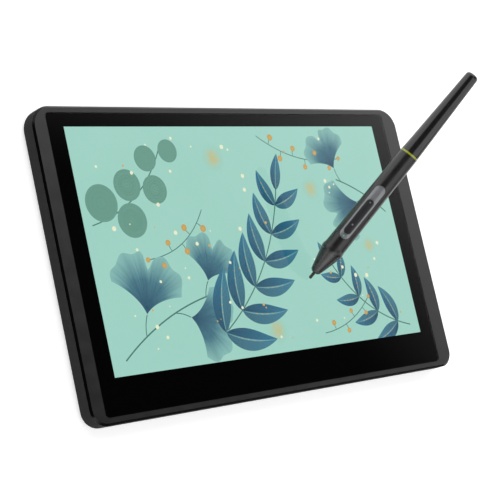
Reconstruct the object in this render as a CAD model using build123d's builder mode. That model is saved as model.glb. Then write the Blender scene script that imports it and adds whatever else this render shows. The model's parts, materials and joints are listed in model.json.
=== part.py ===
from build123d import *
import os

# Graphics tablet with screen, lying on its feet, and the pen whose nib touches its glass.
# Millimetres, +Z up, origin on the desk under the middle of the tablet. The lower edge faces -Y.

# Clearances and overruns
overrun = 1.0
press_clearance = 0.02
thread_clearance = 0.05
fit_clearance = 0.15

# Screen and bezel
active_width = 255.6
active_height = 143.8
bezel_side = 11.7
bezel_top = 8.4
bezel_bottom = 21.3

# Body
frame_left = 9.5
frame_right = 13.4
frame_top = 4.2
frame_bottom = 4.2
body_thickness = 11.8
corner_top = 13.0
corner_bottom = 10.0
wall = 2.0
shell_floor = 1.7
back_edge_radius = 3.0
front_edge_chamfer = 1.25
lip_thickness = 1.8
seam_chamfer = 0.4
ledge_thickness = 1.8
opening_corner = 0.5

# Feet
foot_proud = 1.2
foot_pocket = 0.4
foot_length = 30.0
foot_width = 9.0
foot_side_inset = 32.0
foot_end_inset = 14.0
foot_edge_chamfer = 0.3

# Cover glass, its printed border and its tape
glass_thickness = 1.1
glass_corner = 2.5
glass_edge_chamfer = 0.2
mask_thickness = 0.1
mask_reveal = 0.3
mask_inset = 0.2
tape_thickness = 0.2
tape_inset = 0.4

# Screen panel and backlight
air_gap = 0.2
panel_side = 4.0
panel_top = 3.5
panel_bottom = 8.0
panel_gap = 0.5
sheet_thickness = 0.4
cell_ledge = 4.0
film_thickness = 0.25
guide_thickness = 0.7
reflector_thickness = 0.15
rail_width = 1.5
film_gap = 0.2
tray_thickness = 0.25
tray_wall = 1.0
led_count = 24
led_board_thickness = 0.4
led_length = 3.4
led_depth = 1.0
led_height = 0.6

# Pen sensing layers and the plate that carries them
digitizer_margin = 6.0
digitizer_thickness = 0.5
shield_thickness = 0.1
shield_inset = 0.5
plate_thickness = 0.8
plate_rim = 0.3
plate_tab = 2.6
plate_slot_count = 4
plate_slot_length = 34.0
plate_slot_width = 6.0
post_radius = 2.2
post_inset = 4.8
post_end_inset = 14.0
post_end_shares = (-1, 0.2, 1)

# Screws
screw_radius = 1.0
head_radius = 1.9
head_height = 1.2
cross_length = 2.2
cross_width = 0.5
cross_depth = 0.6
case_screw_length = 6.0
case_screw_bite = 1.3
case_boss_radius = 3.2
case_boss_gap = 0.3
case_end_inset = 11.6
case_bottom_spread = 120.0
case_bottom_inset = 9.1
plate_screw_length = 2.8
board_screw_length = 2.6
pilot_spare = 0.2

# Main board
board_width = 100.0
board_height = 41.0
board_thickness = 1.0
board_edge_gap = 1.0
standoff_height = 1.0
standoff_radius = 2.4
standoff_inset = 4.0
chip_height = 1.0
chip_shares = [(-0.10, -0.16, 0.12, 0.28), (-0.27, 0.14, 0.09, 0.16), (0.36, -0.22, 0.08, 0.16),
               (0.36, 0.10, 0.05, 0.10), (-0.38, -0.25, 0.05, 0.14), (0.08, 0.12, 0.05, 0.10)]
can_width = 24.0
can_height = 17.0
can_rise = 1.6
can_sheet = 0.2
can_x_share = 0.16
can_y_share = -0.22
connector_width = 18.0
connector_depth = 4.0
connector_height = 1.4

# Flat cables
flex_thickness = 0.15
flex_bend = 0.9
flex_width = 22.0
flex_spread = 64.0
flex_reach = 2.0
flex_lap = 2.6
flex_room = 3.2
driver_board_width = 100.0
driver_board_height = 9.0
driver_board_thickness = 0.8
driver_board_inset = 2.0
ribbon_thickness = 0.25
ribbon_bend = 3.0
ribbon_slope = 6.0
ribbon_width = 14.0
ribbon_x = -30.0
ribbon_lap = 3.0
digitizer_tail_x = 0.0
digitizer_tail_reach = 2.2
digitizer_tail_lap = 3.2
digitizer_tail_width = 16.0

# Sockets in the far edge
port_x = 27.0
port_spacing = 14.0
port_rise = 0.9
port_width = 8.94
port_height = 3.26
port_sheet = 0.3
port_depth = 7.35
port_recess = 0.6
port_opening_gap = 0.2
tongue_width = 6.7
tongue_thickness = 0.7
tongue_recess = 0.9
tongue_base = 1.5

# Power button in the far edge
button_x = -24.0
button_length = 10.0
button_height = 3.0
button_recess = 0.1
button_edge = 0.4
button_gap = 0.12
button_flange = 0.8
button_flange_lip = 1.2
button_rest_gap = 0.05
button_travel = 0.5
switch_width = 6.0
switch_depth = 3.4
switch_height = 2.2
nub_width = 2.4
nub_height = 1.2
nub_length = 0.6
light_offset = 9.5
light_radius = 0.8
light_gap = 0.2
light_chip = 1.6
light_chip_inset = 2.4
light_chip_height = 1.7

# Pen, its place on the glass and its lean
nib_contact_x = 35.9
nib_contact_y = -27.9
nib_gap = 0.05
pen_altitude = 38.3
pen_azimuth = 51.53
pen_roll = -29.8

# Pen, from the nib's tip to its rounded end
nib_radius = 1.0
nib_length = 25.5
nib_bore_gap = 0.2
nib_travel = 0.6
nose_start = 4.6
nose_front_radius = 1.5
nose_dome_radius = 3.5
nose_dome_length = 2.0
nose_dome_bulge = 0.35
nose_groove_depth = 0.12
nose_groove_width = 0.3
nose_length = 16.3
nose_base_radius = 7.2
coil_chamber_start = 10.0
coil_chamber_end = 21.2
spigot_length = 6.0
spigot_sheet = 0.9
grip_gap = 0.15
grip_bore = 5.0
grip_front_step = 0.5
grip_front_bore_depth = 6.8
lip_radius = 7.44
lip_length = 1.2
waist_radius = 6.97
waist_length = 5.2
ring_start = 99.1
ring_width = 1.2
ring_radius = 6.28
grip_end_radius = 6.24
tail_start_radius = 6.18
tail_end_radius = 4.2
pen_length = 163.7
tail_round = 2.2
tail_bore_front = 4.2
tail_bore_back = 2.6
tail_bore_end = 4.0
tail_spigot = 8.0

# Switch inlay, rocker and status light of the pen
inlay_start = 32.5
inlay_length = 40.8
inlay_width = 7.0
inlay_floor = 3.6
inlay_gap = 0.06
inlay_sink = 0.05
scoop_depth = 0.3
scoop_radius = 9.0
rocker_start = 35.9
rocker_length = 26.9
rocker_width = 5.1
rocker_gap = 0.14
rocker_floor = 3.6
rocker_proud = 0.35
rocker_edge = 0.3
mark_radius = 0.55
mark_low_inset = 7.1
mark_high_inset = 2.2
mark_proud = 0.15
pin_radius = 0.5
pin_height = 4.6
pin_fit = 0.03
pen_light_from_start = 1.7
pen_light_radius = 0.55

# Inside the pen
core_start = 10.4
core_length = 10.0
core_radius = 2.1
coil_radius = 3.2
coil_inset = 0.8
holder_start = 22.2
holder_length = 5.6
holder_radius = 2.2
sensor_length = 2.4
sensor_radius = 4.7
sensor_rest_gap = 0.1
pen_board_length = 59.1
pen_board_half_width = 4.5
pen_board_floor = 1.0
pen_board_thickness = 0.8
pen_switch_spread = 17.0
pen_switch_size = 3.0
pen_switch_height = 1.0
plunger_radius = 0.8
plunger_height = 0.38

# Outline sizes that follow
glass_width = active_width + 2 * bezel_side
glass_height = active_height + bezel_top + bezel_bottom
body_width = glass_width + frame_left + frame_right
body_height = glass_height + frame_top + frame_bottom
glass_x = (frame_left - frame_right) / 2
glass_y = (frame_bottom - frame_top) / 2
active_y = glass_y + (bezel_bottom - bezel_top) / 2
panel_width = active_width + 2 * panel_side
panel_height = active_height + panel_top + panel_bottom
panel_y = active_y + (panel_top - panel_bottom) / 2
panel_bottom_y = panel_y - panel_height / 2
opening_width = panel_width + 2 * panel_gap
opening_height = panel_height + panel_gap + flex_room
opening_y = panel_y + (panel_gap - flex_room) / 2
stack_width = panel_width - 2 * (rail_width + film_gap)
stack_height = panel_height - 2 * (rail_width + film_gap)
digitizer_width = active_width + 2 * digitizer_margin
digitizer_height = active_height + 2 * digitizer_margin
digitizer_top_y = active_y + digitizer_height / 2

# Levels, from the desk up to the floor of the shell and from the face down
back_z = foot_proud
floor_z = back_z + shell_floor
face_z = back_z + body_thickness
seam_z = face_z - lip_thickness
glass_bottom_z = face_z - glass_thickness
mask_bottom_z = glass_bottom_z - mask_thickness
ledge_z = mask_bottom_z - tape_thickness
frame_under_z = ledge_z - ledge_thickness
cell_top_z = mask_bottom_z - air_gap
cell_ledge_z = cell_top_z - sheet_thickness
cell_bottom_z = cell_ledge_z - sheet_thickness
guide_top_z = cell_bottom_z - film_thickness
guide_bottom_z = guide_top_z - guide_thickness
tray_top_z = guide_bottom_z - reflector_thickness
tray_bottom_z = tray_top_z - tray_thickness
digitizer_bottom_z = tray_bottom_z - digitizer_thickness
plate_top_z = digitizer_bottom_z - shield_thickness
plate_bottom_z = plate_top_z - plate_thickness
driver_board_z = plate_bottom_z - driver_board_thickness
board_z = floor_z + standoff_height
board_top_z = board_z + board_thickness
connector_top_z = board_top_z + connector_height

# Places of screws, posts and the board
case_screw_x = body_width / 2 - wall - case_boss_radius - case_boss_gap
case_screw_end_y = body_height / 2 - case_end_inset
case_screw_points = [(side * case_screw_x, end * case_screw_end_y)
                     for side in (-1, 1) for end in (-1, 0, 1)]
case_screw_points += [(side * case_bottom_spread / 2, case_bottom_inset - body_height / 2) for side in (-1, 1)]
case_screw_tip_z = frame_under_z + case_screw_bite
case_seat_z = case_screw_tip_z - case_screw_length
post_x = opening_width / 2 + post_inset
post_end_y = digitizer_height / 2 - post_end_inset
post_points = [(glass_x + side * post_x, active_y + end * post_end_y)
               for side in (-1, 1) for end in post_end_shares]
plate_width = 2 * (post_x + plate_tab)
plate_height = digitizer_height + 2 * plate_rim
inner_edge_y = body_height / 2 - wall
board_top_y = inner_edge_y - board_edge_gap
board_y = board_top_y - board_height / 2
board_pilot_z = board_top_z - board_screw_length - pilot_spare
board_screw_x = board_width / 2 - standoff_inset
board_screw_dy = board_height / 2 - standoff_inset
board_screw_points = [(side * board_screw_x, board_y + end * board_screw_dy)
                      for side in (-1, 1) for end in (-1, 1)]
foot_points = [(side * (body_width / 2 - foot_side_inset), end * (body_height / 2 - foot_end_inset))
               for side in (-1, 1) for end in (-1, 1)]
screw_clearance = screw_radius + fit_clearance
head_clearance = head_radius + fit_clearance
thread_radius = screw_radius + thread_clearance

# Far edge, seen from inside the body: x along the edge, z up
port_places = [port_x - port_spacing / 2, port_x + port_spacing / 2]
port_z = board_top_z + port_rise
port_mouth_y = body_height / 2 - port_recess
port_back_y = port_mouth_y - port_depth
flange_front_y = inner_edge_y - button_rest_gap
flange_back_y = flange_front_y - button_flange
nub_end_y = flange_back_y - button_travel - button_rest_gap
switch_front_y = nub_end_y - nub_length
light_x = button_x - light_offset
light_end_y = board_top_y - light_chip_inset + light_gap
outer_edge = Plane.XZ.offset(-body_height / 2 - overrun)

# Pen directions: along the pen, square to the switch inlay, and across both
pen_dir = Vector(1, 0, 0).rotate(Axis.Y, -pen_altitude).rotate(Axis.Z, pen_azimuth)
pen_up = Vector(0, 0, 1).rotate(Axis.Y, -pen_altitude).rotate(Axis.Z, pen_azimuth)
inlay_dir = pen_up.rotate(Axis((0, 0, 0), pen_dir), pen_roll)
across_dir = inlay_dir.cross(pen_dir)
nib_centre = Vector(glass_x + nib_contact_x, active_y + nib_contact_y, face_z + nib_gap + nib_radius)
pen_tip = nib_centre - pen_dir * nib_radius
pen_axis = Axis(pen_tip, pen_dir)
pen_section = Plane(origin=pen_tip, x_dir=inlay_dir, z_dir=across_dir)

# Places along the pen that follow
nose_end = nose_start + nose_length
grip_start = nose_end + grip_gap
grip_end = ring_start
waist_place = grip_start + waist_length
grip_slope = (grip_end_radius - waist_radius) / (grip_end - waist_place)
ring_end = ring_start + ring_width
spigot_radius = grip_bore + grip_front_step - grip_gap
inlay_middle = inlay_start + inlay_length / 2
rocker_middle = rocker_start + rocker_length / 2
sensor_start = holder_start + holder_length + nib_travel + sensor_rest_gap
sensor_end = sensor_start + sensor_length
pen_board_top = pen_board_floor + pen_board_thickness
pen_light_place = inlay_start + pen_light_from_start

os.makedirs("parts", exist_ok=True)


def save(builder, name):
    """Labels a finished piece and writes its file"""
    builder.part.label = name
    export_step(builder.part, f"parts/{name}.step")


def body_outline(inset):
    """Outline of the body, drawn into the sketch in hand, set in from the outer edge"""
    add(outline.sketch)
    if inset > 0:
        offset(amount=-inset)


def add_screws(points, seat_z, length, up):
    """Screws in the part in hand: each shank runs from its seat, with a cross-recessed head behind it"""
    shank_side = Align.MIN if up else Align.MAX
    head_side = Align.MAX if up else Align.MIN
    head_end_z = seat_z - head_height if up else seat_z + head_height
    with Locations(*[(x, y, seat_z) for x, y in points]):
        Cylinder(screw_radius, length, align=(Align.CENTER, Align.CENTER, shank_side))
        Cylinder(head_radius, head_height, align=(Align.CENTER, Align.CENTER, head_side))
    with Locations(*[(x, y, head_end_z) for x, y in points]):
        for size in ((cross_length, cross_width), (cross_width, cross_length)):
            Box(*size, cross_depth, align=(Align.CENTER, Align.CENTER, shank_side), mode=Mode.SUBTRACT)


def add_strip(points, bend, thickness, width, centre_x):
    """Flat flexible strip in the part in hand, bent along points (y, z) with its thickness on their left"""
    with BuildSketch(Plane.YZ.offset(centre_x - width / 2)) as profile:
        with BuildLine():
            FilletPolyline(*points, radius=bend)
            offset(amount=thickness, side=Side.LEFT)
        make_face()
    extrude(profile.sketch, amount=width)


def turned(points):
    """Solid turned about the pen's axis in the part in hand: points are (radius, place along the pen)"""
    with BuildSketch(pen_section) as profile:
        with BuildLine():
            Polyline(*points, close=True)
        make_face()
    revolve(profile.sketch, axis=pen_axis)


def along_top(height):
    """Plane over the pen's axis: x along the pen from the nib's tip, y across it, facing the inlay's way"""
    return Plane(origin=pen_tip + inlay_dir * height, x_dir=pen_dir, z_dir=inlay_dir)


def grip_radius(place):
    """Outer radius of the grip barrel's long taper at a place along the pen"""
    return waist_radius + (place - waist_place) * grip_slope


def grip_form(growth, mode):
    """Solid inside the grip barrel's outer surface in the part in hand, grown by a small amount"""
    with BuildSketch(pen_section) as profile:
        with BuildLine():
            lip = Spline((nose_base_radius + growth, grip_start),
                         (lip_radius + growth, grip_start + lip_length),
                         (waist_radius + growth, waist_place),
                         tangents=[(lip_radius - nose_base_radius, lip_length), (grip_slope, 1)])
            Polyline(lip @ 1, (grip_end_radius + growth, grip_end), (0, grip_end), (0, grip_start),
                     lip @ 0)
        make_face()
    revolve(profile.sketch, axis=pen_axis, mode=mode)


with BuildSketch() as outline:
    Rectangle(body_width, body_height)
    fillet(outline.vertices().group_by(Axis.Y)[-1], radius=corner_top)
    fillet(outline.vertices().group_by(Axis.Y)[0], radius=corner_bottom)

# Back shell: a tray with rounded back edges, screw bosses, board standoffs and openings in its far wall
with BuildPart() as back_shell:
    with BuildSketch(Plane.XY.offset(back_z)):
        body_outline(0)
    extrude(amount=seam_z - back_z)
    fillet(back_shell.faces().sort_by(Axis.Z)[0].edges(), radius=back_edge_radius)
    with BuildSketch(Plane.XY.offset(floor_z)):
        body_outline(wall)
    extrude(amount=seam_z - floor_z, mode=Mode.SUBTRACT)
    with BuildSketch(Plane.XY.offset(floor_z)):
        with Locations(*case_screw_points):
            Circle(case_boss_radius)
    extrude(amount=frame_under_z - floor_z)
    with BuildSketch(Plane.XY.offset(back_z)):
        with Locations(*case_screw_points):
            Circle(screw_clearance)
    extrude(amount=frame_under_z - back_z, mode=Mode.SUBTRACT)
    with BuildSketch(Plane.XY.offset(back_z)):
        with Locations(*case_screw_points):
            Circle(head_clearance)
    extrude(amount=case_seat_z - back_z, mode=Mode.SUBTRACT)
    with BuildSketch(Plane.XY.offset(floor_z)):
        with Locations(*board_screw_points):
            Circle(standoff_radius)
    extrude(amount=standoff_height)
    with BuildSketch(Plane.XY.offset(board_pilot_z)):
        with Locations(*board_screw_points):
            Circle(thread_radius)
    extrude(amount=board_z - board_pilot_z, mode=Mode.SUBTRACT)
    with BuildSketch(Plane.XY.offset(back_z)):
        with Locations(*foot_points):
            SlotOverall(foot_length + 2 * fit_clearance, foot_width + 2 * fit_clearance)
    extrude(amount=foot_pocket, mode=Mode.SUBTRACT)
    with BuildSketch(outer_edge):
        with Locations(*[(x, port_z) for x in port_places]):
            SlotOverall(port_width + 2 * port_opening_gap, port_height + 2 * port_opening_gap)
        with Locations((button_x, port_z)):
            SlotOverall(button_length + 2 * button_gap, button_height + 2 * button_gap)
        with Locations((light_x, port_z)):
            Circle(light_radius + thread_clearance)
    extrude(amount=wall + 2 * overrun, mode=Mode.SUBTRACT)
save(back_shell, "back_shell")

# Front frame: a lip that shows, a tongue inside the shell's wall, the ledge under the glass and screw posts
with BuildPart() as front_frame:
    with BuildSketch(Plane.XY.offset(seam_z)):
        body_outline(0)
    extrude(amount=lip_thickness)
    chamfer(front_frame.faces().sort_by(Axis.Z)[-1].edges(), length=front_edge_chamfer)
    chamfer(front_frame.faces().sort_by(Axis.Z)[0].edges(), length=seam_chamfer)
    with BuildSketch(Plane.XY.offset(frame_under_z)):
        body_outline(wall + fit_clearance)
    extrude(amount=seam_z - frame_under_z)
    with BuildSketch(Plane.XY.offset(plate_top_z)):
        with Locations(*post_points):
            Circle(post_radius)
    extrude(amount=frame_under_z - plate_top_z)
    with BuildSketch(Plane.XY.offset(frame_under_z)):
        with Locations((glass_x, opening_y)):
            RectangleRounded(opening_width, opening_height, opening_corner)
    extrude(amount=face_z - frame_under_z, mode=Mode.SUBTRACT)
    with BuildSketch(Plane.XY.offset(ledge_z)):
        with Locations((glass_x, glass_y)):
            RectangleRounded(glass_width + 2 * fit_clearance, glass_height + 2 * fit_clearance,
                             glass_corner + fit_clearance)
    extrude(amount=face_z - ledge_z, mode=Mode.SUBTRACT)
    with BuildSketch(Plane.XY.offset(frame_under_z)):
        with Locations(*case_screw_points):
            Circle(thread_radius)
    extrude(amount=case_screw_bite + pilot_spare, mode=Mode.SUBTRACT)
    with BuildSketch(Plane.XY.offset(plate_top_z)):
        with Locations(*post_points):
            Circle(thread_radius)
    extrude(amount=plate_screw_length - plate_thickness + pilot_spare, mode=Mode.SUBTRACT)
save(front_frame, "front_frame")

# Cover glass, flush with the frame
with BuildPart() as cover_glass:
    with BuildSketch(Plane.XY.offset(glass_bottom_z)):
        with Locations((glass_x, glass_y)):
            RectangleRounded(glass_width, glass_height, glass_corner)
    extrude(amount=glass_thickness)
    chamfer(cover_glass.faces().sort_by(Axis.Z)[-1].edges(), length=glass_edge_chamfer)
save(cover_glass, "cover_glass")

# Black border on the glass's underside
with BuildPart() as black_mask:
    with BuildSketch(Plane.XY.offset(mask_bottom_z)):
        with Locations((glass_x, glass_y)):
            RectangleRounded(glass_width - 2 * mask_inset, glass_height - 2 * mask_inset, glass_corner)
        with Locations((glass_x, active_y)):
            Rectangle(active_width + 2 * mask_reveal, active_height + 2 * mask_reveal, mode=Mode.SUBTRACT)
    extrude(amount=mask_thickness)
save(black_mask, "black_mask")

# Tape that holds the glass on the frame's ledge
with BuildPart() as glass_tape:
    with BuildSketch(Plane.XY.offset(ledge_z)):
        with Locations((glass_x, glass_y)):
            RectangleRounded(glass_width - 2 * tape_inset, glass_height - 2 * tape_inset, glass_corner)
        with Locations((glass_x, opening_y)):
            RectangleRounded(opening_width + 2 * tape_inset, opening_height + 2 * tape_inset,
                             opening_corner, mode=Mode.SUBTRACT)
    extrude(amount=tape_thickness)
save(glass_tape, "glass_tape")

# Screen cell: two glass sheets, the lower one with a bare ledge at the bottom edge
with BuildPart() as lcd_cell:
    with BuildSketch(Plane.XY.offset(cell_bottom_z)):
        with Locations((glass_x, panel_y)):
            Rectangle(panel_width, panel_height)
    extrude(amount=sheet_thickness)
    with BuildSketch(Plane.XY.offset(cell_ledge_z)):
        with Locations((glass_x, panel_y + cell_ledge / 2)):
            Rectangle(panel_width, panel_height - cell_ledge)
    extrude(amount=sheet_thickness)
save(lcd_cell, "lcd_cell")

# Backlight, from the diffuser down to the tray
with BuildPart() as diffuser_film:
    with BuildSketch(Plane.XY.offset(guide_top_z)):
        with Locations((glass_x, panel_y)):
            Rectangle(stack_width, stack_height)
    extrude(amount=film_thickness)
save(diffuser_film, "diffuser_film")

led_room = led_board_thickness + led_depth + film_gap
with BuildPart() as light_guide:
    with BuildSketch(Plane.XY.offset(guide_bottom_z)):
        with Locations((glass_x, panel_y + led_room / 2)):
            Rectangle(stack_width, stack_height - led_room)
    extrude(amount=guide_thickness)
save(light_guide, "light_guide")

with BuildPart() as reflector_sheet:
    with BuildSketch(Plane.XY.offset(tray_top_z)):
        with Locations((glass_x, panel_y)):
            Rectangle(stack_width, stack_height)
    extrude(amount=reflector_thickness)
save(reflector_sheet, "reflector_sheet")

stack_bottom_y = panel_y - stack_height / 2
with BuildPart() as led_strip:
    with Locations((glass_x, stack_bottom_y, guide_bottom_z)):
        Box(stack_width, led_board_thickness, guide_thickness, align=(Align.CENTER, Align.MIN, Align.MIN))
    with Locations((glass_x, stack_bottom_y + led_board_thickness, guide_bottom_z)):
        with GridLocations(stack_width / led_count, 0, led_count, 1):
            Box(led_length, led_depth, led_height, align=(Align.CENTER, Align.MIN, Align.MIN))
save(led_strip, "led_strip")

with BuildPart() as panel_frame:
    with BuildSketch(Plane.XY.offset(tray_top_z)):
        with Locations((glass_x, panel_y)):
            Rectangle(panel_width, panel_height)
            Rectangle(panel_width - 2 * rail_width, panel_height - 2 * rail_width, mode=Mode.SUBTRACT)
    extrude(amount=cell_bottom_z - tray_top_z)
save(panel_frame, "panel_frame")

with BuildPart() as panel_tray:
    with BuildSketch(Plane.XY.offset(tray_bottom_z)):
        with Locations((glass_x, panel_y)):
            Rectangle(panel_width + 2 * tray_thickness, panel_height + 2 * tray_thickness)
    extrude(amount=tray_thickness)
    with BuildSketch(Plane.XY.offset(tray_top_z)):
        with Locations((glass_x, panel_y)):
            Rectangle(panel_width + 2 * tray_thickness, panel_height + 2 * tray_thickness)
            Rectangle(panel_width, panel_height, mode=Mode.SUBTRACT)
    extrude(amount=tray_wall)
save(panel_tray, "panel_tray")

# Pen sensing board, its magnetic shield and the aluminium plate behind them
with BuildPart() as digitizer_board:
    with BuildSketch(Plane.XY.offset(digitizer_bottom_z)):
        with Locations((glass_x, active_y)):
            Rectangle(digitizer_width, digitizer_height)
    extrude(amount=digitizer_thickness)
save(digitizer_board, "digitizer_board")

with BuildPart() as shield_sheet:
    with BuildSketch(Plane.XY.offset(plate_top_z)):
        with Locations((glass_x, active_y)):
            Rectangle(digitizer_width - 2 * shield_inset, digitizer_height - 2 * shield_inset)
    extrude(amount=shield_thickness)
save(shield_sheet, "shield_sheet")

with BuildPart() as support_plate:
    with BuildSketch(Plane.XY.offset(plate_bottom_z)):
        with Locations((glass_x, active_y)):
            RectangleRounded(plate_width, plate_height, plate_tab)
            with GridLocations(plate_width / plate_slot_count, plate_height / 2, plate_slot_count, 2):
                SlotOverall(plate_slot_length, plate_slot_width, mode=Mode.SUBTRACT)
        with Locations(*post_points):
            Circle(screw_clearance, mode=Mode.SUBTRACT)
    extrude(amount=plate_thickness)
save(support_plate, "support_plate")

with BuildPart() as plate_screws:
    add_screws(post_points, plate_bottom_z, plate_screw_length, True)
save(plate_screws, "plate_screws")

with BuildPart() as case_screws:
    add_screws(case_screw_points, case_seat_z, case_screw_length, True)
save(case_screws, "case_screws")

# Driver board of the screen, under the plate, and the strips that wrap round to it
driver_bottom_y = active_y - plate_height / 2 + driver_board_inset
with BuildPart() as lcd_driver_board:
    with Locations((glass_x, driver_bottom_y, driver_board_z)):
        Box(driver_board_width, driver_board_height, driver_board_thickness,
            align=(Align.CENTER, Align.MIN, Align.MIN))
save(lcd_driver_board, "lcd_driver_board")

flex_turn_y = panel_bottom_y - flex_reach
with BuildPart() as lcd_flex_strips:
    for flex_x in (glass_x - flex_spread / 2, glass_x + flex_spread / 2):
        add_strip([(driver_bottom_y + flex_lap, driver_board_z), (flex_turn_y, driver_board_z),
                   (flex_turn_y, cell_ledge_z), (panel_bottom_y + flex_lap, cell_ledge_z)],
                  flex_bend, flex_thickness, flex_width, flex_x)
save(lcd_flex_strips, "lcd_flex_strips")

# Main board with notches for the sockets, and what is on it
with BuildPart() as main_board:
    with BuildSketch(Plane.XY.offset(board_z)):
        with Locations((0, board_y)):
            Rectangle(board_width, board_height)
        with Locations(*[(x, board_top_y) for x in port_places]):
            Rectangle(port_width + 2 * fit_clearance, 2 * (board_top_y - port_back_y + fit_clearance),
                      mode=Mode.SUBTRACT)
        with Locations((button_x, board_top_y)):
            Rectangle(button_length + button_flange_lip + 2 * fit_clearance,
                      2 * (board_top_y - switch_front_y - fit_clearance), mode=Mode.SUBTRACT)
        with Locations(*board_screw_points):
            Circle(screw_clearance, mode=Mode.SUBTRACT)
    extrude(amount=board_thickness)
save(main_board, "main_board")

with BuildPart() as board_screws:
    add_screws(board_screw_points, board_top_z, board_screw_length, False)
save(board_screws, "board_screws")

with BuildPart() as board_chips:
    for x_share, y_share, width_share, height_share in chip_shares:
        with Locations((x_share * board_width, board_y + y_share * board_height, board_top_z)):
            Box(width_share * board_width, height_share * board_height, chip_height,
                align=(Align.CENTER, Align.CENTER, Align.MIN))
    with Locations((light_x, light_end_y - light_gap, board_top_z)):
        Box(light_chip, light_chip, light_chip_height, align=(Align.CENTER, Align.MAX, Align.MIN))
save(board_chips, "board_chips")

can_place = (can_x_share * board_width, board_y + can_y_share * board_height, board_top_z)
with BuildPart() as board_shield_can:
    with Locations(can_place):
        Box(can_width, can_height, can_rise, align=(Align.CENTER, Align.CENTER, Align.MIN))
        Box(can_width - 2 * can_sheet, can_height - 2 * can_sheet, can_rise - can_sheet,
            align=(Align.CENTER, Align.CENTER, Align.MIN), mode=Mode.SUBTRACT)
save(board_shield_can, "board_shield_can")

ribbon_end_y = board_y - board_height / 2 + connector_depth
tail_end_y = board_top_y - connector_depth
with BuildPart() as board_connectors:
    with Locations((ribbon_x, ribbon_end_y, board_top_z), (digitizer_tail_x, tail_end_y, board_top_z)):
        Box(connector_width, connector_depth, connector_height,
            align=(Align.CENTER, Align.MAX, Align.MIN))
save(board_connectors, "board_connectors")

# Flat cable from the driver board to the main board, up along the plate's underside
ribbon_low_z = driver_board_z - ribbon_thickness
ribbon_high_z = plate_bottom_z - ribbon_thickness - thread_clearance
driver_top_y = driver_bottom_y + driver_board_height
with BuildPart() as display_cable:
    add_strip([(driver_top_y - ribbon_lap, ribbon_low_z),
               (driver_top_y + ribbon_lap, ribbon_low_z),
               (driver_top_y + ribbon_lap + ribbon_slope, ribbon_high_z),
               (ribbon_end_y - connector_depth - ribbon_slope - ribbon_lap, ribbon_high_z),
               (ribbon_end_y - connector_depth - ribbon_lap, connector_top_z),
               (ribbon_end_y, connector_top_z)],
              ribbon_bend, ribbon_thickness, ribbon_width, ribbon_x)
save(display_cable, "display_cable")

# Flat cable from the sensing board round the plate's far edge to the main board
tail_turn_y = digitizer_top_y + digitizer_tail_reach
with BuildPart() as digitizer_cable:
    add_strip([(tail_end_y - digitizer_tail_lap, connector_top_z), (tail_turn_y, connector_top_z),
               (tail_turn_y, digitizer_bottom_z + digitizer_thickness / 2),
               (digitizer_top_y, digitizer_bottom_z + digitizer_thickness / 2)],
              flex_bend, flex_thickness, digitizer_tail_width, digitizer_tail_x)
save(digitizer_cable, "digitizer_cable")

# Two sockets: a metal shell and the tongue inside it
for number, place_x in enumerate(port_places, start=1):
    with BuildPart() as usb_port:
        with BuildSketch(Plane.XZ.offset(-port_mouth_y)):
            with Locations((place_x, port_z)):
                SlotOverall(port_width, port_height)
                SlotOverall(port_width - 2 * port_sheet, port_height - 2 * port_sheet, mode=Mode.SUBTRACT)
        extrude(amount=port_depth)
    save(usb_port, f"usb_port_{number}")

    with BuildPart() as usb_tongue:
        with BuildSketch(Plane.XZ.offset(-port_back_y - tongue_base)):
            with Locations((place_x, port_z)):
                SlotOverall(port_width - 2 * (port_sheet + press_clearance),
                            port_height - 2 * (port_sheet + press_clearance))
        extrude(amount=tongue_base)
        with BuildSketch(Plane.XZ.offset(tongue_recess - port_mouth_y)):
            with Locations((place_x, port_z)):
                Rectangle(tongue_width, tongue_thickness)
        extrude(amount=port_depth - tongue_base - tongue_recess)
    save(usb_tongue, f"usb_tongue_{number}")

# Power button with its inner flange, the switch behind it and the light beside it
with BuildPart() as power_button:
    with BuildSketch(Plane.XZ.offset(button_recess - body_height / 2)):
        with Locations((button_x, port_z)):
            SlotOverall(button_length, button_height)
    extrude(amount=body_height / 2 - button_recess - flange_back_y)
    chamfer(power_button.faces().sort_by(Axis.Y)[-1].edges(), length=button_edge)
    with BuildSketch(Plane.XZ.offset(-flange_front_y)):
        with Locations((button_x, port_z)):
            SlotOverall(button_length + button_flange_lip, button_height + button_flange_lip)
    extrude(amount=button_flange)
save(power_button, "power_button")

with BuildPart() as power_switch:
    with Locations((button_x, switch_front_y, board_top_z)):
        Box(switch_width, switch_depth, switch_height, align=(Align.CENTER, Align.MAX, Align.MIN))
    with Locations((button_x, nub_end_y, board_top_z + switch_height / 2)):
        Box(nub_width, nub_length, nub_height, align=(Align.CENTER, Align.MAX, Align.CENTER))
save(power_switch, "power_switch")

with BuildPart() as power_light_pipe:
    with BuildSketch(Plane.XZ.offset(button_recess - body_height / 2)):
        with Locations((light_x, port_z)):
            Circle(light_radius)
    extrude(amount=body_height / 2 - button_recess - light_end_y)
save(power_light_pipe, "power_light_pipe")

# Four rubber feet in their pockets
for number, foot_point in enumerate(foot_points, start=1):
    with BuildPart() as rubber_foot:
        with BuildSketch():
            with Locations(foot_point):
                SlotOverall(foot_length, foot_width)
        extrude(amount=foot_proud + foot_pocket)
        chamfer(rubber_foot.faces().sort_by(Axis.Z)[0].edges(), length=foot_edge_chamfer)
    save(rubber_foot, f"rubber_foot_{number}")

# Nib: a round-ended rod
with BuildPart() as pen_nib:
    with BuildSketch(pen_section):
        with BuildLine():
            tip = RadiusArc((0, 0), (nib_radius, nib_radius), -nib_radius)
            Polyline(tip @ 1, (nib_radius, nib_length), (0, nib_length), (0, 0))
        make_face()
    revolve(axis=pen_axis)
save(pen_nib, "pen_nib")

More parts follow.
